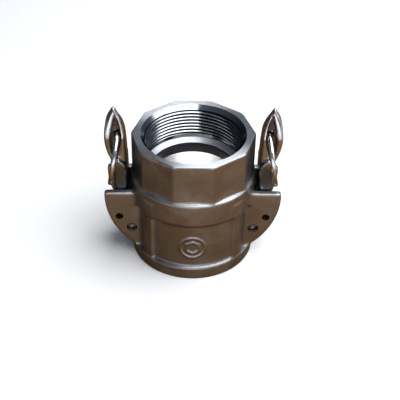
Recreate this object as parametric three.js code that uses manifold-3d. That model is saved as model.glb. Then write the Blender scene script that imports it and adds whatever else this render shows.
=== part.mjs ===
// Camlock coupler, type D, 2 inch: a cast stainless body with a ten-sided female thread end on top,
// a socket for the male adapter at the bottom, and on each side two ears that hold a cam arm.
// Millimetres, +Z up. The origin is the centre of the mouth face, and X runs through both cam arms.
import * as THREE from 'three';
import { mergeVertices } from 'three/addons/utils/BufferGeometryUtils.js';
import Module from 'manifold-3d';

const wasm = await Module();
wasm.setup();

// Driving dimensions.
const TURN = 72; // facets round the body
const OVER = 1; // how far a cutter runs past the face that it opens
const GAP = 0.3; // running gap between neighbouring pieces

const RIM = { radius: 38.1, top: 8.6, chamfer: 0.6 };
const BARREL = { panelRadius: 36.0, sideRadius: 35.6, ribRadius: 37.9, top: 40.2 };
const PANEL_HALF_ANGLE = 39.5; // degrees either side of the Y axis
const RIB_OUTER_ANGLE = 51.5;
const SHOULDER = { edge: 55.8, top: 57.4, width: 3 }; // the slope from the round body up to the ten sides
const HEX = { sides: 10, acrossFlats: 71, top: 82.3, chamfer: 0.8 };

const SOCKET = { radius: 32, leadIn: 1.6, top: 50.4 };
const GROOVE = { radius: 33.8, top: 57.2 }; // the gasket's seat
const LIP = { radius: 25.6, innerTop: 58.0, outerTop: 59.7 };
const RELIEF = { radius: 28.9, top: 62.4 };
const THREAD = { minor: 28.33, major: 29.81, pitch: 2.309, groove: 1.9, mouth: 31.6, segments: 36 };

const PIN = { x: 37.4, z: 22, radius: 3, length: 26.4, chamfer: 0.4 };
const LOCK = { x: 44.8, z: 30.6, radius: 2.4 }; // the hole for a safety clip
const EAR = { inner: 11.5, outer: 15.5, top: 48.5, corner: 1.0, arcX: 5.8, arcZ: 45.4, arcRadius: 47.6, bottom: 7.2 };
const WINDOW = { bottom: 11.2, top: 32.8 };
const EMBLEM = { z: 23.5, radius: 7.5, hexagon: 4.4, line: 1.2, height: 0.5 }; // raised on the front panel

const ARM = { halfWidth: EAR.inner - 0.6, handleHalfWidth: 7.5, tipHalfWidth: 1.5, leafBottom: 82, top: 100.4 };
const HUB_RADIUS = 5.2;
const CAM = { radius: 6.2, offset: 3.6, angle: 20 };
const WEB = { halfWidth: 2.6, holeRadius: 2.6 }; // the thin middle of the handle, and the ring's hole in it

const GASKET = { inner: 25.0, outer: 33.3, thickness: 6.35, corner: 0.7 };
const RING = { radius: 17.6, wire: 1.4, x: 44.8, z: 83.6, lean: 9.2 };

const steel = (name, color, roughness) =>
  new THREE.MeshStandardMaterial({ name, color, roughness, metalness: 1 });
const CAST = steel('cast_stainless', 0x8b857d, 0.42);
const POLISHED = steel('polished_stainless', 0xb4b2ad, 0.22);
const PIN_STEEL = steel('pin_steel', 0x8c8983, 0.35);
const RUBBER = new THREE.MeshStandardMaterial({ name: 'rubber', color: 0x1d1c1e, roughness: 0.8, metalness: 0 });

const radians = (degrees) => (degrees * Math.PI) / 180;

// A three.js geometry as a manifold-3d solid.
function solid(geometry) {
  const bare = geometry.index ? geometry.toNonIndexed() : geometry.clone();
  bare.deleteAttribute('normal');
  bare.deleteAttribute('uv');
  const merged = mergeVertices(bare, 1e-4);
  return new wasm.Manifold(
    new wasm.Mesh({
      numProp: 3,
      vertProperties: merged.attributes.position.array,
      triVerts: new Uint32Array(merged.index.array),
    }),
  );
}

// A manifold-3d solid as a named three.js mesh.
function mesh(name, shape, material) {
  const { numProp, vertProperties, triVerts } = shape.getMesh();
  const points = new Float32Array((vertProperties.length / numProp) * 3);
  for (let i = 0; i < points.length / 3; i++) {
    points.set(vertProperties.subarray(i * numProp, i * numProp + 3), i * 3);
  }
  const geometry = new THREE.BufferGeometry();
  geometry.setAttribute('position', new THREE.BufferAttribute(points, 3));
  geometry.setIndex(new THREE.BufferAttribute(new Uint32Array(triVerts), 1));
  geometry.computeVertexNormals();
  const made = new THREE.Mesh(geometry, material);
  made.name = name;
  return made;
}

// A closed profile of [radius, height] points, listed anticlockwise, turned round the Z axis.
function turned(profile, segments = TURN) {
  const points = [...profile, profile[0]].map(([r, z]) => new THREE.Vector2(r, z));
  return solid(new THREE.LatheGeometry(points, segments).rotateX(Math.PI / 2));
}

// A flat shape drawn in X and Z, extruded along Y from one side to the other.
function plate(shape, fromY, toY, curveSegments = 16) {
  const geometry = new THREE.ExtrudeGeometry(shape, { depth: toY - fromY, bevelEnabled: false, curveSegments });
  return solid(geometry.rotateX(Math.PI / 2).translate(0, toY, 0));
}

// A flat shape drawn in X and Y, extruded upwards.
function column(shape, bottom, top, curveSegments = 16) {
  const geometry = new THREE.ExtrudeGeometry(shape, { depth: top - bottom, bevelEnabled: false, curveSegments });
  return solid(geometry.translate(0, 0, bottom));
}

function block(x0, x1, y0, y1, z0, z1) {
  const geometry = new THREE.BoxGeometry(x1 - x0, y1 - y0, z1 - z0);
  return solid(geometry.translate((x0 + x1) / 2, (y0 + y1) / 2, (z0 + z1) / 2));
}

// A round bar along Y.
function bar(x, z, radius, halfLength, segments = 24) {
  const geometry = new THREE.CylinderGeometry(radius, radius, 2 * halfLength, segments);
  return solid(geometry.translate(x, 0, z));
}

// A smooth closed outline through [x, z] points.
function smoothShape(points, steps) {
  const curve = new THREE.CatmullRomCurve3(points.map(([x, z]) => new THREE.Vector3(x, z, 0)), true, 'centripetal');
  return new THREE.Shape(curve.getPoints(steps).slice(0, -1).map((p) => new THREE.Vector2(p.x, p.y)));
}

const both = (make) => make(1).add(make(-1));

// The part of a ring between two angles about the Z axis, used to cut the barrel back to a radius.
function sector(innerRadius, centre, halfAngle, bottom, top) {
  const outerRadius = RIM.radius + 5;
  const shape = new THREE.Shape();
  shape.absarc(0, 0, outerRadius, radians(centre - halfAngle), radians(centre + halfAngle), false);
  shape.absarc(0, 0, innerRadius, radians(centre + halfAngle), radians(centre - halfAngle), true);
  return column(shape, bottom, top, Math.round((halfAngle * TURN) / 180));
}

// Rim, barrel and collar in one turned blank, with the front and back panels and the ear roots cut in.
function roundBody() {
  let blank = turned([
    [0, 0],
    [RIM.radius - RIM.chamfer, 0],
    [RIM.radius, RIM.chamfer],
    [RIM.radius, RIM.top],
    [BARREL.ribRadius, RIM.top + 0.2],
    [BARREL.ribRadius, SHOULDER.edge],
    [BARREL.ribRadius - SHOULDER.width, SHOULDER.top],
    [0, SHOULDER.top],
  ]);
  for (const centre of [90, 270]) {
    blank = blank.subtract(sector(BARREL.panelRadius, centre, PANEL_HALF_ANGLE, RIM.top, BARREL.top));
  }
  for (const centre of [0, 180]) {
    blank = blank.subtract(sector(BARREL.sideRadius, centre, 90 - RIB_OUTER_ANGLE, RIM.top, BARREL.top));
  }
  return blank;
}

// The ten-sided wrench end, with a flat facing front and back.
function wrenchEnd() {
  const corner = HEX.acrossFlats / 2 / Math.cos(Math.PI / HEX.sides);
  const prism = (low, high, bottom, top) => {
    const geometry = new THREE.CylinderGeometry(high, low, top - bottom, HEX.sides);
    return solid(geometry.rotateY(Math.PI / 2).rotateX(Math.PI / 2).translate(0, 0, (bottom + top) / 2));
  };
  return prism(corner, corner, SHOULDER.edge - OVER, HEX.top - HEX.chamfer)
    .add(prism(corner, corner - HEX.chamfer, HEX.top - HEX.chamfer, HEX.top));
}

// One ear: a flat top with its outer corner taken off, and a round lower edge that runs into the barrel.
function earShape() {
  const outerX = EAR.arcX + EAR.arcRadius;
  const bottomAngle = Math.asin((EAR.bottom - EAR.arcZ) / EAR.arcRadius);
  const shape = new THREE.Shape();
  shape.moveTo(25, EAR.bottom);
  shape.lineTo(EAR.arcX + EAR.arcRadius * Math.cos(bottomAngle), EAR.bottom);
  shape.absarc(EAR.arcX, EAR.arcZ, EAR.arcRadius, bottomAngle, 0, false);
  shape.lineTo(outerX, EAR.top - EAR.corner);
  shape.lineTo(outerX - EAR.corner, EAR.top);
  shape.lineTo(25, EAR.top);
  return shape;
}

function earPair() {
  return both((side) => {
    const edges = [side * EAR.inner, side * EAR.outer].sort((a, b) => a - b);
    return plate(earShape(), edges[0], edges[1], 20);
  });
}

// A plain ring and hexagon, standing out from the front panel as a foundry's mark does.
function emblem() {
  const { z, radius, hexagon, line, height } = EMBLEM;
  const outline = (middle, segments) =>
    bar(0, z, middle + line / 2, 45, segments).subtract(bar(0, z, middle - line / 2, 45 + OVER, segments));
  const [inner, outer] = [BARREL.panelRadius - OVER, BARREL.panelRadius + height];
  const [bottom, top] = [z - radius - line, z + radius + line];
  return outline(radius, 36)
    .add(outline(hexagon, 6))
    .intersect(turned([[inner, bottom], [outer, bottom], [outer, top], [inner, top]]))
    .intersect(block(-radius - line, radius + line, -outer, 0, bottom, top));
}

// Everything that is machined along the axis, as one turned cutter.
function boreCutter() {
  const mouth = SOCKET.radius + SOCKET.leadIn;
  return turned([
    [0, -OVER],
    [mouth, -OVER],
    [mouth, 0],
    [SOCKET.radius, SOCKET.leadIn],
    [SOCKET.radius, SOCKET.top],
    [GROOVE.radius, SOCKET.top],
    [GROOVE.radius, GROOVE.top],
    [LIP.radius, GROOVE.top],
    [LIP.radius, LIP.innerTop],
    [RELIEF.radius, LIP.outerTop],
    [RELIEF.radius, RELIEF.top],
    [0, RELIEF.top],
  ]);
}

// The chamfer at the open end of the thread, turned half a facet so that it doesn't line up with the thread.
function threadChamfer() {
  const bottom = HEX.top - (THREAD.mouth - THREAD.minor) - OVER;
  const profile = [
    [0, bottom],
    [THREAD.minor - OVER, bottom],
    [THREAD.mouth + OVER, HEX.top + OVER],
    [0, HEX.top + OVER],
  ];
  return turned(profile).rotate([0, 0, 180 / TURN]);
}

// The tap: a solid as wide as the bore, with the thread standing out from it as one V-shaped helix.
// Each step round the helix holds three points, and the third joins the first point one turn further up.
function threadTap() {
  const { minor, major, pitch, groove, segments } = THREAD;
  const bottom = LIP.outerTop + 0.2;
  const steps = Math.ceil((HEX.top - bottom) / pitch) * segments;
  const points = [];
  for (let step = 0; step <= steps + segments; step++) {
    const angle = (step / segments) * 2 * Math.PI;
    const z = bottom + (pitch * step) / segments;
    for (const [r, up] of [[minor, 0], [major, groove / 2], [minor, groove]]) {
      points.push(r * Math.cos(angle), r * Math.sin(angle), z + up);
    }
  }
  const bottomCentre = points.length / 3;
  points.push(0, 0, bottom, 0, 0, bottom + pitch * (steps / segments + 1));
  const corner = (step, i) => (i < 3 ? 3 * step + i : 3 * (step + segments));
  const faces = [];
  for (let step = 0; step < steps; step++) {
    for (const i of [0, 1, 2]) {
      const [a, b] = [corner(step, i), corner(step + 1, i)];
      const [c, d] = [corner(step + 1, i + 1), corner(step, i + 1)];
      faces.push(a, b, c, a, c, d);
    }
  }
  // The two ends: one turn of the helix and its cut face, joined to a point on the axis.
  for (const [start, centre] of [[0, bottomCentre], [steps, bottomCentre + 1]]) {
    const rim = Array.from({ length: segments + 1 }, (_, i) => corner(start + i, 0));
    rim.push(corner(start, 2), corner(start, 1));
    if (start === 0) rim.reverse();
    rim.forEach((point, i) => faces.push(centre, point, rim[(i + 1) % rim.length]));
  }
  const tap = new THREE.BufferGeometry();
  tap.setAttribute('position', new THREE.Float32BufferAttribute(points, 3));
  tap.setIndex(faces);
  return solid(tap);
}

function buildBody() {
  const blank = both((side) => (side > 0 ? earPair() : earPair().rotate([0, 0, 180])))
    .add(roundBody())
    .add(emblem())
    .add(wrenchEnd());
  const cutters = [boreCutter(), threadTap(), threadChamfer()];
  for (const side of [1, -1]) {
    const near = [side * 20, side * 46].sort((a, b) => a - b);
    cutters.push(block(near[0], near[1], -EAR.inner, EAR.inner, WINDOW.bottom, WINDOW.top));
    cutters.push(bar(side * PIN.x, PIN.z, PIN.radius + GAP, EAR.outer + OVER));
    cutters.push(bar(side * LOCK.x, LOCK.z, LOCK.radius, EAR.outer + OVER, 20));
  }
  return cutters.reduce((shape, cutter) => shape.subtract(cutter), blank);
}

function buildGasket() {
  const top = GROOVE.top - GAP;
  const bottom = top - GASKET.thickness;
  const { inner, outer, corner } = GASKET;
  return turned(
    [
      [inner + corner, bottom],
      [outer, bottom],
      [outer, top],
      [inner + corner, top],
      [inner, top - corner],
      [inner, bottom + corner],
    ],
    72,
  );
}

// The arm's outline in X and Z, without its hub and cam: up the body side, over the tip, down the outside.
const ARM_OUTLINE = [
  [39.7, 25],
  [39.7, 45],
  [39.8, 66],
  [40.3, 77],
  [41.2, 85.5],
  [42.8, 91.4],
  [44.9, 96.2],
  [46.9, 100.2],
  [49.0, 97.0],
  [51.0, 92.7],
  [52.3, 87.6],
  [52.7, 82.5],
  [52.4, 77.5],
  [51.4, 72.5],
  [49.8, 67.8],
  [48.3, 63.8],
  [47.7, 59],
  [47.7, 50],
  [48.3, 42],
  [49.0, 35],
  [48.4, 29.5],
  [46.4, 25],
  [43.4, 21.2],
  [41.0, 18.2],
];

// The hollow in each side of the handle's head, round the pull ring's hole.
const HOLLOW_OUTLINE = [
  [46.1, 95.4],
  [47.2, 91.6],
  [48.2, 87],
  [48.9, 82],
  [49.0, 76.5],
  [48.3, 71.5],
  [46.9, 68],
  [45.5, 69.5],
  [44.3, 73.5],
  [43.2, 78],
  [42.8, 83],
  [43.4, 88],
  [44.7, 92.6],
];

// Where the hub block gives way to the narrower handle, seen from the side.
function handleSides() {
  const shape = new THREE.Shape();
  shape.moveTo(34, 58);
  shape.lineTo(39.7, 64.5);
  shape.lineTo(46, 71.5);
  shape.lineTo(48, 66);
  shape.lineTo(58, 66);
  shape.lineTo(58, 104);
  shape.lineTo(34, 104);
  return both((side) => {
    const edges = [side * ARM.handleHalfWidth, side * (ARM.halfWidth + OVER)].sort((a, b) => a - b);
    return plate(shape, edges[0], edges[1]);
  });
}

// The arm seen along X: full width at the hub, and a leaf shape from the ring's height up to the round tip.
function tipOutline() {
  const hub = ARM.halfWidth + OVER;
  const { handleHalfWidth: half, tipHalfWidth: tip } = ARM;
  const shape = new THREE.Shape();
  shape.moveTo(-hub, 10);
  shape.lineTo(hub, 10);
  shape.lineTo(hub, ARM.leafBottom - 2);
  shape.lineTo(half, ARM.leafBottom);
  shape.quadraticCurveTo(tip + 3.7, ARM.leafBottom + 8.5, tip, ARM.top - 1);
  shape.quadraticCurveTo(0, ARM.top + 1, -tip, ARM.top - 1);
  shape.quadraticCurveTo(-tip - 3.7, ARM.leafBottom + 8.5, -half, ARM.leafBottom);
  shape.lineTo(-hub, ARM.leafBottom - 2);
  const geometry = new THREE.ExtrudeGeometry(shape, { depth: 40, bevelEnabled: false, curveSegments: 10 });
  return solid(geometry.rotateX(Math.PI / 2).rotateZ(Math.PI / 2).translate(20, 0, 0));
}

// The hollows leave a web between them, and the ring hangs in a round hole through the web.
function headHollows() {
  const shape = smoothShape(HOLLOW_OUTLINE, 44);
  return both((side) => {
    const edges = [side * WEB.halfWidth, side * (ARM.halfWidth + OVER)].sort((a, b) => a - b);
    return plate(shape, edges[0], edges[1]);
  }).add(bar(RING.x, RING.z, WEB.holeRadius, WEB.halfWidth + OVER, 28));
}

function buildArm() {
  const cam = radians(CAM.angle);
  const camX = PIN.x - CAM.offset * Math.cos(cam);
  const camZ = PIN.z + CAM.offset * Math.sin(cam);
  return plate(smoothShape(ARM_OUTLINE, 110), -ARM.halfWidth, ARM.halfWidth)
    .add(bar(PIN.x, PIN.z, HUB_RADIUS, ARM.halfWidth, 32))
    .add(bar(camX, camZ, CAM.radius, ARM.halfWidth, 36))
    .intersect(tipOutline())
    .subtract(handleSides())
    .subtract(headHollows())
    .subtract(bar(PIN.x, PIN.z, PIN.radius + GAP, ARM.halfWidth + OVER))
    .subtract(bar(LOCK.x, LOCK.z, LOCK.radius, ARM.halfWidth + OVER, 20));
}

function buildPin() {
  const half = PIN.length / 2;
  const { radius, chamfer } = PIN;
  const profile = [
    [0, -half],
    [radius - chamfer, -half],
    [radius, chamfer - half],
    [radius, half - chamfer],
    [radius - chamfer, half],
    [0, half],
  ];
  return solid(new THREE.LatheGeometry(profile.map(([r, y]) => new THREE.Vector2(r, y)), 24));
}

// A closed round wire ring, hung by its top and leaning outwards at the bottom.
function buildRing() {
  const geometry = new THREE.TorusGeometry(RING.radius, RING.wire, 8, 40);
  geometry.rotateY(Math.PI / 2).translate(0, 0, -RING.radius);
  return solid(geometry.rotateY(radians(-RING.lean)));
}

// One side's arm, pin and ring, built on +X and turned round for the other side.
function camSide(side, turn) {
  const group = new THREE.Group();
  const arm = mesh(`${side}_cam_arm`, buildArm(), POLISHED);
  const pin = mesh(`${side}_pivot_pin`, buildPin(), PIN_STEEL);
  pin.position.set(PIN.x, 0, PIN.z);
  const ring = mesh(`${side}_pull_ring`, buildRing(), POLISHED);
  ring.position.set(RING.x, 0, RING.z);
  group.add(arm, pin, ring);
  group.rotation.z = turn;
  return group;
}

const coupling = new THREE.Group();
coupling.name = 'camlock_coupler';
coupling.add(mesh('coupler_body', buildBody(), CAST));
coupling.add(mesh('gasket', buildGasket(), RUBBER));
coupling.add(camSide('right', 0), camSide('left', Math.PI));

export default coupling;
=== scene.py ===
"""The looks of a 2 inch camlock coupler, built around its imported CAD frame.

The castings are distance fields, so that their edges and inside corners are rounded as a casting's are.
What is machined on the real part is then cut from them with sharp edges. Fields are in millimetres.
"""

import math
from functools import reduce

import bmesh
import bpy
import numpy as np
import openvdb
from mathutils import Matrix, Quaternion, Vector


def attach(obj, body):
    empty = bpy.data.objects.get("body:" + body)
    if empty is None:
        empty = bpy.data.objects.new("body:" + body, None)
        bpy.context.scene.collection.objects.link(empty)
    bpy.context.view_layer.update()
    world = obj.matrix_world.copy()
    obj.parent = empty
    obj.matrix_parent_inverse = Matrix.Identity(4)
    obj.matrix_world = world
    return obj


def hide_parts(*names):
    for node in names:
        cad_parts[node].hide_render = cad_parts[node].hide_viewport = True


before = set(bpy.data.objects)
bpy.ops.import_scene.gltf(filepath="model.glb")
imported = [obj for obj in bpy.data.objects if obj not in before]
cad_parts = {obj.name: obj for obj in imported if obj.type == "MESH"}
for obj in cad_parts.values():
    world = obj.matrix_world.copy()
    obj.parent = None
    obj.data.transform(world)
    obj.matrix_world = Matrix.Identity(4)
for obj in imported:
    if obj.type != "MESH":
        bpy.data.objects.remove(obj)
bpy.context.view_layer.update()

MM = 0.001

# The CAD's driving dimensions, in millimetres, and degrees for the angles.
RIM_RADIUS, RIM_TOP, LEDGE_SLOPE = 38.1, 8.6, 0.45
RIB_RADIUS, PANEL_RADIUS, SIDE_RADIUS = 37.9, 36.0, 35.6
RIB_INNER_X, RIB_OUTER_X = 24.1, 29.6
BARREL_TOP, SHOULDER_EDGE, SHOULDER_SLOPE = 40.2, 55.8, 0.533
HEX_SIDES, HEX_FLAT, HEX_TOP = 10, 35.5, 82.3
EAR_INNER, EAR_OUTER, EAR_TOP, EAR_BOTTOM, EAR_CORNER = 11.5, 15.5, 48.5, 7.2, 1.0
EAR_ARC_X, EAR_ARC_Z, EAR_ARC_RADIUS = 5.8, 45.4, 47.6
WINDOW_BOTTOM, WINDOW_TOP = 11.2, 32.8
EMBLEM_Z, EMBLEM_RADIUS, EMBLEM_HEXAGON, EMBLEM_LINE, EMBLEM_HEIGHT = 23.5, 7.5, 3.8, 1.2, 0.7
SOCKET_RADIUS, SOCKET_LEAD_IN, SOCKET_TOP = 32.0, 1.6, 50.4
GROOVE_RADIUS, GROOVE_TOP = 33.8, 57.2
LIP_RADIUS, LIP_INNER_TOP, LIP_OUTER_TOP = 25.6, 58.0, 59.7
RELIEF_RADIUS, RELIEF_TOP = 28.9, 62.4
THREAD_MINOR, THREAD_MAJOR, THREAD_PITCH, THREAD_MOUTH, THREAD_START = 28.33, 29.81, 2.309, 31.6, 140
THREAD_SECTION = [(0, 0), (0.29, 0.54), (0.44, 1), (0.50, 1), (0.92, 0)]  # up in pitches, out in depths
# Radius beyond which the thread's root is painted dark as shade.
THREAD_ROOT_SHADE = THREAD_MINOR + 0.55
PIN_X, PIN_Z, PIN_RADIUS, PIN_HALF_LENGTH = 37.4, 22.0, 3.0, 13.2
LOCK_X, LOCK_Z, LOCK_RADIUS = 44.8, 30.6, 2.4
ARM_HALF_WIDTH, HANDLE_HALF_WIDTH, TIP_HALF_WIDTH = 10.9, 7.5, 1.5
LEAF_BOTTOM, ARM_TOP, WEB_HALF_WIDTH, RING_HOLE_RADIUS = 82.0, 100.4, 2.6, 2.6
HUB_RADIUS, CAM_RADIUS, CAM_OFFSET, CAM_ANGLE = 5.2, 6.2, 3.6, 20.0
RING_RADIUS, WIRE_RADIUS, RING_X, RING_Z, RING_LEAN = 17.6, 1.4, 44.8, 83.6, 9.2
GASKET_INNER, GASKET_OUTER, GASKET_THICKNESS = 25.0, 33.3, 6.35
GASKET_TOP = GROOVE_TOP - 0.3


# ---------------------------------------------------------------- distance fields, in millimetres

def join(a, b, soft):
    """Both shapes, with a fillet about as wide as soft where they meet."""
    h = np.clip(0.5 + 0.5 * (b - a) / soft, 0, 1)
    return b + (a - b) * h - soft * h * (1 - h)


def common(a, b, soft):
    """What the shapes share, with its edges rounded."""
    return -join(-a, -b, soft)


def cut(a, b, soft):
    """a without b."""
    return -join(-a, b, soft)


def between(value, low, high):
    return np.maximum(low - value, value - high)


def outline_distance(points, x, z):
    """Signed distance from a closed outline of [x, z] points, for two arrays that broadcast together."""
    x, z = np.broadcast_arrays(x, z)
    nearest = np.full(x.shape, 1e9)
    inside = np.zeros(x.shape, bool)
    for (ax, az), (bx, bz) in zip(points, np.roll(points, -1, axis=0)):
        ex, ez = bx - ax, bz - az
        t = np.clip(((x - ax) * ex + (z - az) * ez) / (ex * ex + ez * ez), 0, 1)
        nearest = np.minimum(nearest, (x - ax - t * ex) ** 2 + (z - az - t * ez) ** 2)
        crosses = (az > z) != (bz > z)
        with np.errstate(divide="ignore", invalid="ignore"):
            inside ^= crosses & (x < ex * (z - az) / ez + ax)
    return np.where(inside, -1, 1) * np.sqrt(nearest)


def smooth_outline(points, steps=6):
    """A closed Catmull-Rom curve through the points."""
    p = np.array(points, float)
    before, after, next_after = np.roll(p, 1, 0), np.roll(p, -1, 0), np.roll(p, -2, 0)
    t = (np.arange(steps) / steps)[None, :, None]
    a, b, c, d = (q[:, None, :] for q in (before, p, after, next_after))
    curve = 0.5 * (2 * b + (c - a) * t + (2 * a - 5 * b + 4 * c - d) * t**2 + (3 * b - a - 3 * c + d) * t**3)
    return curve.reshape(-1, 2)


def skin(name, field_of, low, high, cell):
    """The surface of a field as a mesh object, with larger faces where it is flat.

    field_of takes x, y and z arrays that broadcast together.
    """
    axes = [np.arange(a, b + cell, cell) for a, b in zip(low, high)]
    x, y, z = axes[0][:, None, None], axes[1][None, :, None], axes[2][None, None, :]
    values = np.clip(field_of(x, y, z), -3 * cell, 3 * cell).astype(np.float32)
    grid = openvdb.FloatGrid(3 * cell)
    grid.copyFromArray(np.ascontiguousarray(values))
    points, triangles, quads = grid.convertToPolygons(isovalue=0.0, adaptivity=0.001)
    points = (points * cell + np.array(low)) * MM
    return mesh_object(name, points.tolist(), triangles[:, ::-1].tolist() + quads[:, ::-1].tolist())


# ---------------------------------------------------------------- meshes

def mesh_object(name, points, faces):
    """A closed mesh as an object, with its faces turned outwards and no unused points."""
    mesh = bpy.data.meshes.new(name)
    mesh.from_pydata(points, [], faces)
    solid = bmesh.new()
    solid.from_mesh(mesh)
    bmesh.ops.delete(solid, geom=[v for v in solid.verts if not v.link_faces], context="VERTS")
    if solid.calc_volume(signed=True) < 0:
        bmesh.ops.reverse_faces(solid, faces=solid.faces)
    solid.to_mesh(mesh)
    solid.free()
    made = bpy.data.objects.new(name, mesh)
    bpy.context.scene.collection.objects.link(made)
    return made


def grid_faces(rows, columns, close_rows=False):
    """Quads over a grid of rows by columns points, closed round its columns."""
    last = rows if close_rows else rows - 1
    return [
        (i * columns + j, i * columns + (j + 1) % columns,
         (i + 1) % rows * columns + (j + 1) % columns, (i + 1) % rows * columns + j)
        for i in range(last) for j in range(columns)
    ]


def turned(name, profile, segments=192, ring=False):
    """A solid of revolution about Z from a profile of (radius, z): a bar with flat ends, or a closed ring."""
    angles = np.arange(segments) * 2 * math.pi / segments
    points = [(r * math.cos(a) * MM, r * math.sin(a) * MM, z * MM) for r, z in profile for a in angles]
    faces = grid_faces(len(profile), segments, ring)
    if not ring:
        faces.append(tuple(reversed(range(segments))))
        faces.append(tuple(range(len(points) - segments, len(points))))
    return mesh_object(name, points, faces)


def bar_y(name, x, z, radius, half_length, segments=64):
    """A round bar along Y, used as a drill."""
    made = turned(name, [(radius, -half_length), (radius, half_length)], segments)
    made.data.transform(Matrix.Translation((x * MM, 0, z * MM)) @ Matrix.Rotation(math.pi / 2, 4, "X"))
    return made


def subtract(target, *tools):
    """Cuts the tools from the target and removes them."""
    for tool in tools:
        step = target.modifiers.new("cut", "BOOLEAN")
        step.object = tool
        step.solver = "MANIFOLD"
        bpy.context.view_layer.objects.active = target
        bpy.ops.object.modifier_apply(modifier=step.name)
        bpy.data.objects.remove(tool)
    return target


def shade(made, degrees=32):
    """Smooth shading, with edges sharper than the angle left sharp."""
    made.data.polygons.foreach_set("use_smooth", [True] * len(made.data.polygons))
    made.data.set_sharp_from_angle(angle=math.radians(degrees))
    return made


# ---------------------------------------------------------------- the cast body

def decagon(x, y):
    """Distance from the ten-sided prism, with a flat facing front and back and its long edges rounded."""
    turns = [math.radians(90 + i * 360 / HEX_SIDES) for i in range(HEX_SIDES)]
    flats = [x * math.cos(turn) + y * math.sin(turn) - HEX_FLAT for turn in turns]
    return reduce(lambda a, b: common(a, b, 0.9), flats)


def ear_field(x, y, z):
    side = np.abs(x)
    arc = np.where(z > EAR_ARC_Z, side - EAR_ARC_X - EAR_ARC_RADIUS,
                   np.hypot(side - EAR_ARC_X, z - EAR_ARC_Z) - EAR_ARC_RADIUS)
    corner = (side - EAR_ARC_X - EAR_ARC_RADIUS + z - EAR_TOP + EAR_CORNER) / math.sqrt(2)
    profile = common(common(common(arc, corner, 0.6), z - EAR_TOP, 0.6), EAR_BOTTOM - z, 0.9)
    plates = between(np.abs(y), EAR_INNER, EAR_OUTER)
    return common(common(profile, plates, 0.9), 26 - side, 0.5)


def emblem(x, z):
    """A generic mark for the front panel: the height, 0 to 1, of a plain ring with a hexagon inside it."""
    up = z - EMBLEM_Z
    ring = np.abs(np.hypot(x, up) - EMBLEM_RADIUS)
    sides = [np.abs(x * math.cos(turn) + up * math.sin(turn)) for turn in (0, math.pi / 3, 2 * math.pi / 3)]
    hexagon = np.abs(reduce(np.maximum, sides) - EMBLEM_HEXAGON)
    inside = np.clip((EMBLEM_LINE / 2 + 0.3 - np.minimum(ring, hexagon)) / 0.7, 0, 1)
    return inside**2 * (3 - 2 * inside)


def body_field(x, y, z):
    r = np.hypot(x, y)
    side = np.abs(x)
    slope = LEDGE_SLOPE * np.clip((RIB_OUTER_X - side) / 4, 0, 1)
    ledge = (z - RIM_TOP + 0.5 - slope * (RIM_RADIUS - r)) / np.hypot(1, slope)
    rim = common(r - RIM_RADIUS, np.maximum(-z, ledge), 0.9)
    barrel = common(r - SIDE_RADIUS, between(z, 4, 50), 0.5)
    front = r - PANEL_RADIUS - np.where(y < 0, EMBLEM_HEIGHT * emblem(x, z), 0)
    panel = common(common(front, side - RIB_INNER_X - 1, 0.8), between(z, 4, 50), 0.5)
    rib = common(common(r - RIB_RADIUS, between(side, RIB_INNER_X, RIB_OUTER_X), 1.6), between(z, 4, 50), 0.5)
    shoulder = (z - SHOULDER_EDGE - SHOULDER_SLOPE * (RIB_RADIUS - r)) / math.hypot(1, SHOULDER_SLOPE)
    collar = common(common(r - RIB_RADIUS, BARREL_TOP - z, 1.8), shoulder, 0.6)
    wrench_end = common(decagon(x, y), between(z, 50, HEX_TOP), 0.9)
    low = reduce(lambda a, b: join(a, b, 1.3), [join(join(barrel, panel, 1.3), rib, 2.2), rim, collar])
    whole = join(join(low, wrench_end, 0.5), ear_field(x, y, z), 2.0)
    window = common(common(np.abs(y) - EAR_INNER, between(z, WINDOW_BOTTOM, WINDOW_TOP), 1.6), 18 - side, 0.5)
    return cut(whole, window, 1.0)


def thread_tap():
    """A solid as wide as the bore, with one V-shaped helix standing out from it."""
    segments = 144
    bottom = LIP_OUTER_TOP + 0.2
    steps = math.ceil((HEX_TOP - bottom) / THREAD_PITCH) * segments
    depth = THREAD_MAJOR - THREAD_MINOR
    width = len(THREAD_SECTION)
    points = []
    for step in range(steps + segments + 1):
        angle = step / segments * 2 * math.pi + math.radians(THREAD_START)
        z = bottom + THREAD_PITCH * step / segments
        for up, out in THREAD_SECTION:
            r = THREAD_MINOR + out * depth
            points.append((r * math.cos(angle) * MM, r * math.sin(angle) * MM, (z + up * THREAD_PITCH) * MM))
    centres = len(points)
    points += [(0, 0, bottom * MM), (0, 0, (bottom + THREAD_PITCH * (steps / segments + 1)) * MM)]

    def corner(step, i):
        return step * width + i if i < width else (step + segments) * width

    faces = [(corner(s, i), corner(s + 1, i), corner(s + 1, i + 1), corner(s, i + 1))
             for s in range(steps) for i in range(width)]
    for start, centre in ((0, centres), (steps, centres + 1)):
        rim = [corner(start + i, 0) for i in range(segments + 1)]
        rim += [corner(start, i) for i in range(width - 1, 0, -1)]
        if start == 0:
            rim.reverse()
        faces += [(centre, point, rim[(i + 1) % len(rim)]) for i, point in enumerate(rim)]
    return mesh_object("tap", points, faces)


def bore_tool():
    mouth = SOCKET_RADIUS + SOCKET_LEAD_IN
    return turned("bore", [
        (mouth, -1), (mouth, 0), (SOCKET_RADIUS, SOCKET_LEAD_IN), (SOCKET_RADIUS, SOCKET_TOP),
        (GROOVE_RADIUS, SOCKET_TOP), (GROOVE_RADIUS, GROOVE_TOP), (LIP_RADIUS + 0.3, GROOVE_TOP),
        (LIP_RADIUS, GROOVE_TOP + 0.3), (LIP_RADIUS, LIP_INNER_TOP - 0.3), (LIP_RADIUS + 0.3, LIP_INNER_TOP),
        (RELIEF_RADIUS, LIP_OUTER_TOP), (RELIEF_RADIUS, RELIEF_TOP)])


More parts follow.
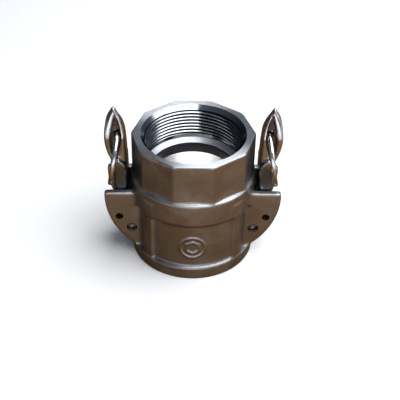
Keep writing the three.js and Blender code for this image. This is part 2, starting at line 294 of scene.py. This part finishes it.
def chamfer_tool():
    depth = THREAD_MOUTH - THREAD_MINOR
    return turned("chamfer", [
        (THREAD_MINOR - 1, HEX_TOP - depth - 1), (THREAD_MOUTH, HEX_TOP), (THREAD_MOUTH, HEX_TOP + 1)], 230)


def make_body():
    body = skin("body_casting", body_field, (-55, -39.5, -1.1), (55, 39.5, 83.5), 0.45)
    holes = (PIN_X, PIN_Z, PIN_RADIUS + 0.35), (LOCK_X, LOCK_Z, LOCK_RADIUS)
    drills = [bar_y("drill", side * x, z, radius, 20) for side in (-1, 1) for x, z, radius in holes]
    subtract(body, bore_tool(), thread_tap(), chamfer_tool(), *drills)
    return shade(body)


# ---------------------------------------------------------------- arms, pins, rings, gasket

ARM_OUTLINE = smooth_outline([
    (39.7, 25), (39.7, 45), (39.8, 66), (40.3, 77), (41.2, 85.5), (42.8, 91.4), (44.9, 96.2), (46.9, 100.2),
    (49.0, 97.0), (51.0, 92.7), (52.3, 87.6), (52.7, 82.5), (52.4, 77.5), (51.4, 72.5), (49.8, 67.8),
    (48.3, 63.8), (47.7, 59), (47.7, 50), (48.3, 42), (49.0, 35), (48.4, 29.5), (46.4, 25), (43.4, 21.2),
    (41.0, 18.2)])
HOLLOW_OUTLINE = smooth_outline([
    (46.1, 95.4), (47.2, 91.6), (48.2, 87), (48.9, 82), (49.0, 76.5), (48.3, 71.5), (46.9, 68), (45.5, 69.5),
    (44.3, 73.5), (43.2, 78), (42.8, 83), (43.4, 88), (44.7, 92.6)])
HUB_STEP = [(30, 10), (30, 58), (34, 58), (39.7, 64.5), (46, 71.5), (48, 66), (60, 66), (60, 10)]


def arm_field(x, y, z):
    """The right-hand arm: its side outline with hub and cam, as wide as the hub below and a leaf above."""
    side_x, side_z = np.broadcast_arrays(x[:, 0, :], z[0, :, :])
    profile = outline_distance(ARM_OUTLINE, side_x, side_z)
    turn = math.radians(CAM_ANGLE)
    cam_x, cam_z = PIN_X - CAM_OFFSET * math.cos(turn), PIN_Z + CAM_OFFSET * math.sin(turn)
    profile = join(profile, np.hypot(side_x - PIN_X, side_z - PIN_Z) - HUB_RADIUS, 1.5)
    profile = join(profile, np.hypot(side_x - cam_x, side_z - cam_z) - CAM_RADIUS, 1.5)
    rise = np.clip((side_z - LEAF_BOTTOM) / (ARM_TOP - LEAF_BOTTOM), 0, 1)
    half_width = TIP_HALF_WIDTH + (HANDLE_HALF_WIDTH - TIP_HALF_WIDTH) * (1 - rise**1.15)
    leaf = common(profile[:, None, :], np.abs(y) - half_width[:, None, :], 2.2)
    hub_step = outline_distance(np.array(HUB_STEP, float), side_x, side_z)
    hub = common(common(profile[:, None, :], np.abs(y) - ARM_HALF_WIDTH, 2.2), hub_step[:, None, :], 1.2)
    whole = np.minimum(leaf, hub)
    hollow = outline_distance(HOLLOW_OUTLINE, side_x, side_z)
    return cut(whole, common(hollow[:, None, :], WEB_HALF_WIDTH - np.abs(y), 1.0), 1.8)


def mark_hollows(arm):
    """Finish 1 for the web and walls of the hollows in the head, which are grainy as cast and painted dark as
    shade.
    """
    x, y, z = np.abs([face.center / MM for face in arm.data.polygons]).T
    hollow = (outline_distance(HOLLOW_OUTLINE, x, z) < 0.3) & (y < WEB_HALF_WIDTH + 1.6)
    arm.data.polygons.foreach_set("material_index", hollow.astype(np.int32))


def make_arm(side, turn):
    arm = skin(f"{side}_arm_casting", arm_field, (26.5, -12.1, 15.6), (54.1, 12.1, 101.6), 0.32)
    holes = ((PIN_X, PIN_Z, PIN_RADIUS + 0.3), (LOCK_X, LOCK_Z, LOCK_RADIUS),
             (RING_X, RING_Z, RING_HOLE_RADIUS))
    subtract(arm, *(bar_y("drill", x, z, radius, 20) for x, z, radius in holes))
    arm.data.transform(turn)
    return shade(arm, 50)


def make_pin(side, turn):
    """A turned pin with chamfered ends, each staked with a shallow round dimple."""
    r, half = PIN_RADIUS, PIN_HALF_LENGTH
    end = [(0.2, half - 0.7), (0.5, half - 0.62), (1.0, half - 0.3), (1.25, half - 0.05), (1.45, half),
           (r - 0.5, half), (r - 0.15, half - 0.12), (r, half - 0.5)]
    pin = turned(f"{side}_pin", [(rr, -z) for rr, z in end] + end[::-1], 64)
    place = Matrix.Translation((PIN_X * MM, 0, PIN_Z * MM)) @ Matrix.Rotation(math.pi / 2, 4, "X")
    pin.data.transform(turn @ place)
    return shade(pin)


def make_ring(side, turn):
    """A wire ring hung by its top, with the slight bead of its closing weld at the bottom."""
    around, across = 160, 28
    points = []
    for i in range(around):
        a = 2 * math.pi * i / around
        from_weld = math.degrees(min(a, 2 * math.pi - a))
        bead = 1 - 0.05 * math.exp(-((from_weld - 3.2) / 1.1) ** 2)
        for j in range(across):
            b = 2 * math.pi * j / across
            r = RING_RADIUS + WIRE_RADIUS * bead * math.cos(b)
            thick = WIRE_RADIUS * bead * math.sin(b)
            points.append((thick * MM, r * math.sin(a) * MM, -r * math.cos(a) * MM))
    ring = mesh_object(f"{side}_ring", points, grid_faces(around, across, close_rows=True))
    lean = Matrix.Rotation(math.radians(-RING_LEAN), 4, "Y")
    hang = Matrix.Translation((RING_X * MM, 0, RING_Z * MM)) @ lean
    ring.data.transform(turn @ hang @ Matrix.Translation((0, 0, -RING_RADIUS * MM)))
    return shade(ring)


def make_gasket():
    """The rubber ring, with its inner edges rounded and two moulded grooves in each flat face."""
    bottom = GASKET_TOP - GASKET_THICKNESS
    corner = [(GASKET_INNER + inset, up) for inset, up in ((0.9, 0), (0.35, 0.15), (0.08, 0.5), (0, 0.9))]
    face = [(GASKET_OUTER, 0), (GASKET_OUTER - 0.3, 0)]
    for groove in (31.6, 28.4):
        face += [(groove + 0.5, 0), (groove + 0.2, 0.3), (groove - 0.2, 0.3), (groove - 0.5, 0)]
    under = [(r, bottom + z) for r, z in (face + corner)]
    over = [(r, GASKET_TOP - z) for r, z in (face + corner)]
    gasket = turned("gasket_ring", under[::-1] + over, ring=True)
    return shade(gasket)


# ---------------------------------------------------------------- finishes

class Finish:
    """A material, with short calls for adding nodes to it. Inputs are sockets to link or plain values."""

    def __init__(self, name, **constants):
        self.material = bpy.data.materials.new(name)
        self.material.use_nodes = True
        self.tree = self.material.node_tree
        self.shader = self.tree.nodes["Principled BSDF"]
        self.place = self.node("TexCoord").outputs["Object"]
        self.fill(self.shader, {key.replace("_", " "): value for key, value in constants.items()})

    def fill(self, node, inputs):
        for key, value in inputs.items():
            if isinstance(value, bpy.types.NodeSocket):
                self.tree.links.new(value, node.inputs[key])
            else:
                node.inputs[key].default_value = value

    def node(self, kind, inputs=None, **settings):
        made = self.tree.nodes.new("ShaderNode" + kind)
        for key, value in settings.items():
            setattr(made, key, value)
        self.fill(made, inputs or {})
        return made

    def noise(self, size_mm, detail=3.0, stretch=(1, 1, 1), distortion=0.0):
        """Noise from 0 to 1 whose patches are about size_mm across, or longer along an axis by stretch."""
        scale = tuple(1000 / size_mm / s for s in stretch)
        placed = self.node("Mapping", {"Vector": self.place, "Scale": scale}).outputs["Vector"]
        inputs = {"Vector": placed, "Scale": 1.0, "Detail": detail, "Distortion": distortion}
        return self.node("TexNoise", inputs).outputs["Fac"]

    def math(self, operation, a, b=0.0):
        return self.node("Math", {0: a, 1: b}, operation=operation).outputs[0]

    def span(self, value, low, high, to_low=0.0, to_high=1.0):
        """The value carried from low..high to to_low..to_high, and kept inside."""
        inputs = {"Value": value, "From Min": low, "From Max": high, "To Min": to_low, "To Max": to_high}
        return self.node("MapRange", inputs).outputs["Result"]

    def blend(self, factor, a, b):
        mix = self.node("Mix", data_type="RGBA")
        self.fill(mix, {"Factor": factor})
        for socket, value in (("A", a), ("B", b)):
            colour = [s for s in mix.inputs if s.name == socket and s.type == "RGBA"][0]
            if isinstance(value, bpy.types.NodeSocket):
                self.tree.links.new(value, colour)
            else:
                colour.default_value = (*value, 1)
        return [s for s in mix.outputs if s.type == "RGBA"][0]

    def bump(self, height, depth_mm, strength=1.0, under=None):
        inputs = {"Height": height, "Distance": depth_mm * MM, "Strength": strength}
        if under:
            inputs["Normal"] = under
        return self.node("Bump", inputs).outputs["Normal"]

    def edges(self, low, high):
        """0 on flat surfaces and 1 along worn outside edges."""
        return self.span(self.node("NewGeometry").outputs["Pointiness"], low, high)

    def creases(self, low, high):
        """0 on flat surfaces and 1 down in the inside corners."""
        return self.span(self.node("NewGeometry").outputs["Pointiness"], high, low)

    def done(self, colour, roughness, normal):
        self.fill(self.shader, {"Base Color": colour, "Roughness": roughness, "Normal": normal})
        return self.material


def cast_steel():
    """Shot-blasted casting: fine grain, faint mottling, small pits, bright edges, painted shade in the inside
    corners, and painted shade darkening it towards the mouth.
    """
    f = Finish("cast_steel", Metallic=1.0)
    patches = f.noise(14, detail=4, distortion=0.6)
    mottle = f.noise(2.6, detail=4)
    grain = f.noise(0.34, detail=2)
    pits = f.span(f.noise(0.9, detail=1), 0.27, 0.36, 1.0, 0.0)
    worn = f.math("MULTIPLY", f.edges(0.505, 0.56), f.span(mottle, 0.3, 0.7, 0.55, 1.0))
    crease_shade = f.math("MULTIPLY", f.creases(0.44, 0.495), f.span(patches, 0.3, 0.7, 0.5, 1.0))
    colour = f.blend(f.span(patches, 0.35, 0.65), (0.315, 0.298, 0.282), (0.385, 0.37, 0.352))
    colour = f.blend(f.span(mottle, 0.4, 0.75, 0, 0.4), colour, (0.27, 0.256, 0.245))
    # Painted shade: the colour is darkened in the inside corners, where shade falls.
    colour = f.blend(f.math("MULTIPLY", crease_shade, 0.55), colour, (0.10, 0.09, 0.08))
    colour = f.blend(f.math("MULTIPLY", pits, 0.5), colour, (0.13, 0.11, 0.095))
    colour = f.blend(f.math("MULTIPLY", worn, 0.5), colour, (0.56, 0.565, 0.59))
    # Painted shade: the lower body's colour is darkened towards the mouth, standing in for the floor's shade
    # that it reflects.
    low = f.span(f.node("SeparateXYZ", {0: f.place}).outputs["Z"], 0.050, 0.008)
    colour = f.blend(f.math("MULTIPLY", low, 0.42), colour, (0.15, 0.14, 0.13))
    roughness = f.math("ADD", f.span(patches, 0.3, 0.7, 0.33, 0.43), f.span(grain, 0.3, 0.7, -0.03, 0.05))
    roughness = f.math("SUBTRACT", roughness, f.math("MULTIPLY", worn, 0.10))
    relief = f.bump(mottle, 0.10, 0.35)
    relief = f.bump(f.math("SUBTRACT", grain, pits), 0.035, 0.4, relief)
    return f.done(colour, roughness, relief)


def machined_steel(name, tone, roughness, anisotropy, feed_depth, root_shade_radius=None):
    """Turned on a lathe: fine feed marks round the bore and across the faces, and a few deeper chatter bands.

    Below the mouth's chamfer, what lies outside the radius given is the root of a thread, which is painted
    nearly black as the shade under the crest above.
    """
    f = Finish(name, Metallic=1.0, Anisotropic=anisotropy, Anisotropic_Rotation=0.25)
    parts = f.node("SeparateXYZ", {0: f.place}).outputs
    radius = f.math("SQRT", f.math("ADD", f.math("MULTIPLY", parts["X"], parts["X"]),
                                   f.math("MULTIPLY", parts["Y"], parts["Y"])))
    across = f.math("MULTIPLY", f.math("ADD", radius, f.math("MULTIPLY", parts["Z"], 0.83)), 1000)

    def lines(scale):
        inputs = {"W": across, "Scale": scale, "Detail": 2.0}
        return f.node("TexNoise", inputs, noise_dimensions="1D").outputs["Fac"]

    feed, bands = lines(4.5), lines(0.7)
    smear = f.noise(7, detail=3, distortion=0.5)
    shades = [tuple(level * share for share in tone) for level in (1.0, 0.86, 0.72, 1.25)]
    colour = f.blend(f.span(smear, 0.35, 0.7), shades[0], shades[1])
    colour = f.blend(f.span(feed, 0.45, 0.7, 0, 0.3), colour, shades[2])
    colour = f.blend(f.math("MULTIPLY", f.edges(0.51, 0.58), 0.5), colour, shades[3])
    # Painted shade: the thread's root is coloured nearly black, standing in for the shade under the crest
    # above it.
    if root_shade_radius:
        chamfer = HEX_TOP - THREAD_MOUTH + THREAD_MINOR
        root = f.span(radius, (root_shade_radius - 0.06) * MM, (root_shade_radius + 0.06) * MM)
        root = f.math("MULTIPLY", root, f.span(parts["Z"], (chamfer + 1.0) * MM, (chamfer + 0.3) * MM))
        colour = f.blend(f.math("MULTIPLY", root, 0.95), colour, (0.012, 0.012, 0.016))
    gloss = f.math("ADD", f.span(smear, 0.3, 0.7, 0, 0.07), f.span(bands, 0.3, 0.7, -0.03, 0.04))
    f.fill(f.shader, {"Tangent": f.node("Tangent", direction_type="RADIAL", axis="Z").outputs["Tangent"]})
    return f.done(colour, f.math("ADD", gloss, roughness), f.bump(feed, feed_depth, 0.4))


def polished_steel():
    """Buffed casting: soft waves, hairline scratches, dull and with painted shade in the inside corners, and
    painted shade darkening the stems below the handle.
    """
    f = Finish("polished_steel", Metallic=1.0)
    waves = f.noise(5.5, detail=2)
    smear = f.noise(2.2, detail=4, distortion=0.4)
    hairs = f.noise(0.16, detail=2, stretch=(1, 1, 30))
    worn = f.edges(0.505, 0.57)
    crease_shade = f.creases(0.43, 0.49)
    colour = f.blend(f.span(smear, 0.35, 0.7), (0.40, 0.385, 0.365), (0.50, 0.485, 0.465))
    height = f.node("SeparateXYZ", {0: f.place}).outputs["Z"]
    # Painted shade: the stems below the leaf are coloured dark and cool, standing in for the shade they
    # reflect.
    painted_stem_shade = f.span(f.math("ADD", height, f.span(waves, 0.3, 0.7, -0.002, 0.002)), 0.070, 0.062)
    colour = f.blend(f.math("MULTIPLY", painted_stem_shade, 0.92), colour, (0.10, 0.12, 0.145))
    # Painted shade: the colour is darkened in the inside corners, where shade falls.
    colour = f.blend(f.math("MULTIPLY", crease_shade, 0.6), colour, (0.12, 0.10, 0.085))
    colour = f.blend(f.math("MULTIPLY", worn, 0.6), colour, (0.78, 0.765, 0.75))
    dulled = f.math("ADD", f.math("MULTIPLY", crease_shade, 0.15), f.math("MULTIPLY", painted_stem_shade, 0.10))
    roughness = f.math("ADD", f.span(smear, 0.3, 0.7, 0.17, 0.27), dulled)
    relief = f.bump(hairs, 0.006, 0.3, f.bump(waves, 0.16, 0.5))
    return f.done(colour, roughness, relief)


def shaded_hollow_steel():
    """The hollows of the handles: grainy as cast, and coloured dark as painted shade."""
    f = Finish("shaded_hollow_steel", Metallic=1.0)
    patches = f.noise(3.0, detail=4)
    grain = f.noise(0.4, detail=2)
    # Painted shade: the dark colour stands in for the shade inside the hollows.
    colour = f.blend(f.span(patches, 0.35, 0.65), (0.10, 0.088, 0.078), (0.19, 0.165, 0.145))
    return f.done(colour, f.span(grain, 0.3, 0.7, 0.38, 0.5), f.bump(grain, 0.03, 0.4))


def pin_steel():
    """Cold-drawn bar with turned ends, dull, and coloured dark as painted shade for the holes it sits in."""
    f = Finish("pin_steel", Metallic=1.0)
    smear = f.noise(1.6, detail=3)
    drawn = f.noise(0.12, detail=2, stretch=(1, 40, 1))
    # Painted shade: the pin's colour is darkened, standing in for the shade in the holes.
    colour = f.blend(f.span(smear, 0.35, 0.7), (0.14, 0.125, 0.11), (0.24, 0.22, 0.20))
    roughness = f.span(smear, 0.3, 0.7, 0.30, 0.42)
    return f.done(colour, roughness, f.bump(drawn, 0.008, 0.4))


def ring_steel():
    """Bright drawn wire: nearly a mirror, with faint waves and small scuffs."""
    f = Finish("ring_steel", Metallic=1.0)
    scuffs = f.span(f.noise(0.8, detail=4, distortion=1.2), 0.52, 0.66)
    waves = f.noise(3.5, detail=2)
    colour = f.blend(f.span(waves, 0.35, 0.7), (0.66, 0.64, 0.61), (0.76, 0.745, 0.72))
    colour = f.blend(f.math("MULTIPLY", scuffs, 0.3), colour, (0.45, 0.43, 0.41))
    roughness = f.math("ADD", f.span(waves, 0.3, 0.7, 0.09, 0.16), f.math("MULTIPLY", scuffs, 0.12))
    return f.done(colour, roughness, f.bump(f.math("ADD", waves, scuffs), 0.03, 0.4))


def gasket_rubber():
    """Black nitrile rubber with a fine moulded grain and a trace of dust."""
    f = Finish("gasket_rubber", Metallic=0.0, Specular_IOR_Level=0.4)
    dust = f.span(f.noise(4.5, detail=5, distortion=0.4), 0.48, 0.75)
    grain = f.noise(0.28, detail=3)
    colour = f.blend(f.math("MULTIPLY", dust, 0.35), (0.011, 0.011, 0.016), (0.048, 0.047, 0.051))
    roughness = f.math("ADD", f.span(grain, 0.3, 0.7, 0.44, 0.54), f.math("MULTIPLY", dust, 0.15))
    return f.done(colour, roughness, f.bump(grain, 0.03, 0.5))


def floor_paint():
    f = Finish("pale_floor", Roughness=0.9, Specular_IOR_Level=0.1)
    colour = f.blend(f.noise(60, detail=3), (0.935, 0.90, 0.86), (0.945, 0.915, 0.88))
    return f.done(colour, 0.9, f.bump(f.noise(1.2), 0.01, 0.2))


# ---------------------------------------------------------------- the pieces on their bodies

def dress(piece, node, body, slot, *materials):
    piece.data.materials.clear()
    for material in materials:
        piece.data.materials.append(material)
    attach(piece, body)
    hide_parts(node)


def mark_machined(body):
    """Finish 1 for the faced ends, 2 for the thread, 3 for the socket and 4 for the seat between them."""
    for face in body.data.polygons:
        x, y, z = face.center / MM
        radius = math.hypot(x, y)
        if z > HEX_TOP - 0.05 or z < 0.05:
            face.material_index = 1
        elif radius < GROOVE_RADIUS + 0.1:
            face.material_index = 2 if z > LIP_OUTER_TOP + 0.1 else 4 if z > SOCKET_TOP else 3


steel_cast = cast_steel()
steel_faced = machined_steel("faced_steel", (0.58, 0.59, 0.61), 0.32, 0.9, 0.006)
steel_threaded = machined_steel("threaded_steel", (0.42, 0.43, 0.45), 0.10, 0.0, 0.001, THREAD_ROOT_SHADE)
steel_seat = machined_steel("seat_steel", (0.62, 0.63, 0.66), 0.42, 0.5, 0.006)
steel_honed = machined_steel("honed_steel", (0.97, 0.97, 0.97), 0.22, 0.5, 0.004)
steel_polished, steel_hollow_shade = polished_steel(), shaded_hollow_steel()
steel_pin, steel_wire = pin_steel(), ring_steel()

casting = make_body()
body_finishes = steel_cast, steel_faced, steel_threaded, steel_honed, steel_seat
dress(casting, "coupler_body", "body", "cast_steel", *body_finishes)
mark_machined(casting)
dress(make_gasket(), "gasket", "body", "gasket_rubber", gasket_rubber())
for side, half_turn in (("right", Matrix.Identity(4)), ("left", Matrix.Rotation(math.pi, 4, "Z"))):
    arm = make_arm(side, half_turn)
    dress(arm, f"{side}_cam_arm", f"{side}_arm", "polished_steel", steel_polished, steel_hollow_shade)
    mark_hollows(arm)
    dress(make_pin(side, half_turn), f"{side}_pivot_pin", "body", "pin_steel", steel_pin)
    dress(make_ring(side, half_turn), f"{side}_pull_ring", f"{side}_ring", "ring_steel", steel_wire)


# ---------------------------------------------------------------- floor, light and camera

def floor_sheet(name, inner, outer, z):
    """A flat ring or disc of floor, facing up."""
    sheet = bmesh.new()
    count = 96
    rings = []
    for radius in (inner, outer):
        rings.append([sheet.verts.new((radius * math.cos(2 * math.pi * i / count),
                                       radius * math.sin(2 * math.pi * i / count), z)) for i in range(count)])
    for i in range(count):
        j = (i + 1) % count
        sheet.faces.new((rings[0][i], rings[1][i], rings[1][j], rings[0][j]))
    if inner < 0.01:
        sheet.faces.new(rings[0])
    mesh = bpy.data.meshes.new(name)
    sheet.to_mesh(mesh)
    sheet.free()
    made = bpy.data.objects.new(name, mesh)
    bpy.context.scene.collection.objects.link(made)
    mesh.materials.append(pale_floor)
    return made


def softbox(name, place, aim, size, radiance, colour):
    light = bpy.data.lights.new(name, "AREA")
    light.shape = "RECTANGLE"
    light.size, light.size_y = size
    light.color = colour
    light.energy = radiance * math.pi * size[0] * size[1]
    made = bpy.data.objects.new(name, light)
    made.location = place
    made.rotation_euler = (Vector(aim) - Vector(place)).to_track_quat("-Z", "Y").to_euler()
    bpy.context.scene.collection.objects.link(made)
    return made


def surroundings():
    """A soft room: a warm table below, cool walls above, and white where the camera looks past the floor.

    It is brightest in front and to the right, and dark behind and to the left.
    """
    world = bpy.data.worlds.new("room")
    world.use_nodes = True
    tree = world.node_tree
    add, link = tree.nodes.new, tree.links.new
    direction = add("ShaderNodeTexCoord").outputs["Generated"]
    parts = add("ShaderNodeSeparateXYZ")
    link(direction, parts.inputs[0])
    lift = add("ShaderNodeMapRange")
    link(parts.outputs["Z"], lift.inputs["Value"])
    lift.inputs["From Min"].default_value = -1
    towards_front = add("ShaderNodeVectorMath")
    towards_front.operation = "DOT_PRODUCT"
    link(direction, towards_front.inputs[0])
    towards_front.inputs[1].default_value = (0.45, -0.6, 0)
    falloff = add("ShaderNodeMapRange")
    link(towards_front.outputs["Value"], falloff.inputs["Value"])
    falloff.inputs["From Min"].default_value = -0.75
    falloff.inputs["From Max"].default_value = 0.5
    falloff.inputs["To Min"].default_value = 0.08
    ramp = add("ShaderNodeValToRGB")
    link(lift.outputs["Result"], ramp.inputs["Fac"])
    stops = [(0.0, (0.14, 0.085, 0.045)), (0.12, (0.22, 0.125, 0.06)), (0.20, (0.39, 0.215, 0.09)),
             (0.29, (0.51, 0.285, 0.12)), (0.35, (0.22, 0.14, 0.085)), (0.41, (1.05, 1.06, 1.2)),
             (0.50, (1.10, 1.12, 1.25)), (0.56, (0.10, 0.11, 0.14)), (0.72, (0.13, 0.16, 0.22)),
             (1.0, (0.14, 0.16, 0.20))]
    while len(ramp.color_ramp.elements) < len(stops):
        ramp.color_ramp.elements.new(0.5)
    for element, (at, colour) in zip(ramp.color_ramp.elements, stops):
        element.position = at
        element.color = (*colour, 1)
    room, white, mixed = tree.nodes["Background"], add("ShaderNodeBackground"), add("ShaderNodeMixShader")
    link(ramp.outputs["Color"], room.inputs["Color"])
    link(falloff.outputs["Result"], room.inputs["Strength"])
    white.inputs["Color"].default_value = (0.95, 0.95, 0.95, 1)
    link(add("ShaderNodeLightPath").outputs["Is Camera Ray"], mixed.inputs["Fac"])
    link(room.outputs[0], mixed.inputs[1])
    link(white.outputs[0], mixed.inputs[2])
    link(mixed.outputs[0], tree.nodes["World Output"].inputs["Surface"])
    bpy.context.scene.world = world


def look_from(distance, elevation, turn, roll, height):
    """The camera: distance in metres from a point height above the floor, angles in degrees."""
    data = bpy.data.cameras.new("camera")
    data.sensor_width = 36
    data.lens = 81.27
    data.shift_x, data.shift_y = 0.018, -0.027
    up, round_z = math.radians(elevation), math.radians(turn)
    offset = Vector((-math.sin(round_z) * math.cos(up), -math.cos(round_z) * math.cos(up), math.sin(up)))
    camera = bpy.data.objects.new("camera", data)
    camera.location = Vector((0, 0, height)) + offset * distance
    aim = (-offset).to_track_quat("-Z", "Y") @ Quaternion((0, 0, 1), math.radians(roll))
    camera.rotation_euler = aim.to_euler()
    bpy.context.scene.collection.objects.link(camera)
    bpy.context.scene.camera = camera


pale_floor = floor_paint()
outer_floor = floor_sheet("floor", SOCKET_RADIUS * MM, 12.0, 0)
outer_floor.visible_glossy = False
floor_sheet("floor_under_bore", 0.001, SOCKET_RADIUS * MM, 0)
softbox("overhead", (0.375, -0.05, 0.95), (0.375, -0.05, 0), (0.95, 1.45), 4.5, (0.90, 0.95, 1.0))
softbox("back_fill", (0.0, 1.1, 0.85), (0, 0, 0.06), (0.8, 0.5), 0.35, (0.84, 0.88, 1.0))
bore_fill = softbox("bore_fill", (0, -0.018, 0.0015), (0, -0.018, 0.1), (0.050, 0.022), 1.15, (1.0, 1.0, 1.0))
bore_fill.visible_camera = False
softbox("side_fill", (0.98, -0.15, 0.62), (0, 0, 0.06), (0.8, 0.6), 2.6, (0.92, 0.95, 1.0))
softbox("front_fill", (0.0, -1.15, 0.24), (0, 0, 0.06), (1.1, 0.46), 2.0, (0.95, 0.96, 1.0))
surroundings()
look_from(0.56, 37.69, 0.48, 0.87, 0.040)
bpy.context.scene.view_settings.view_transform = "Standard"
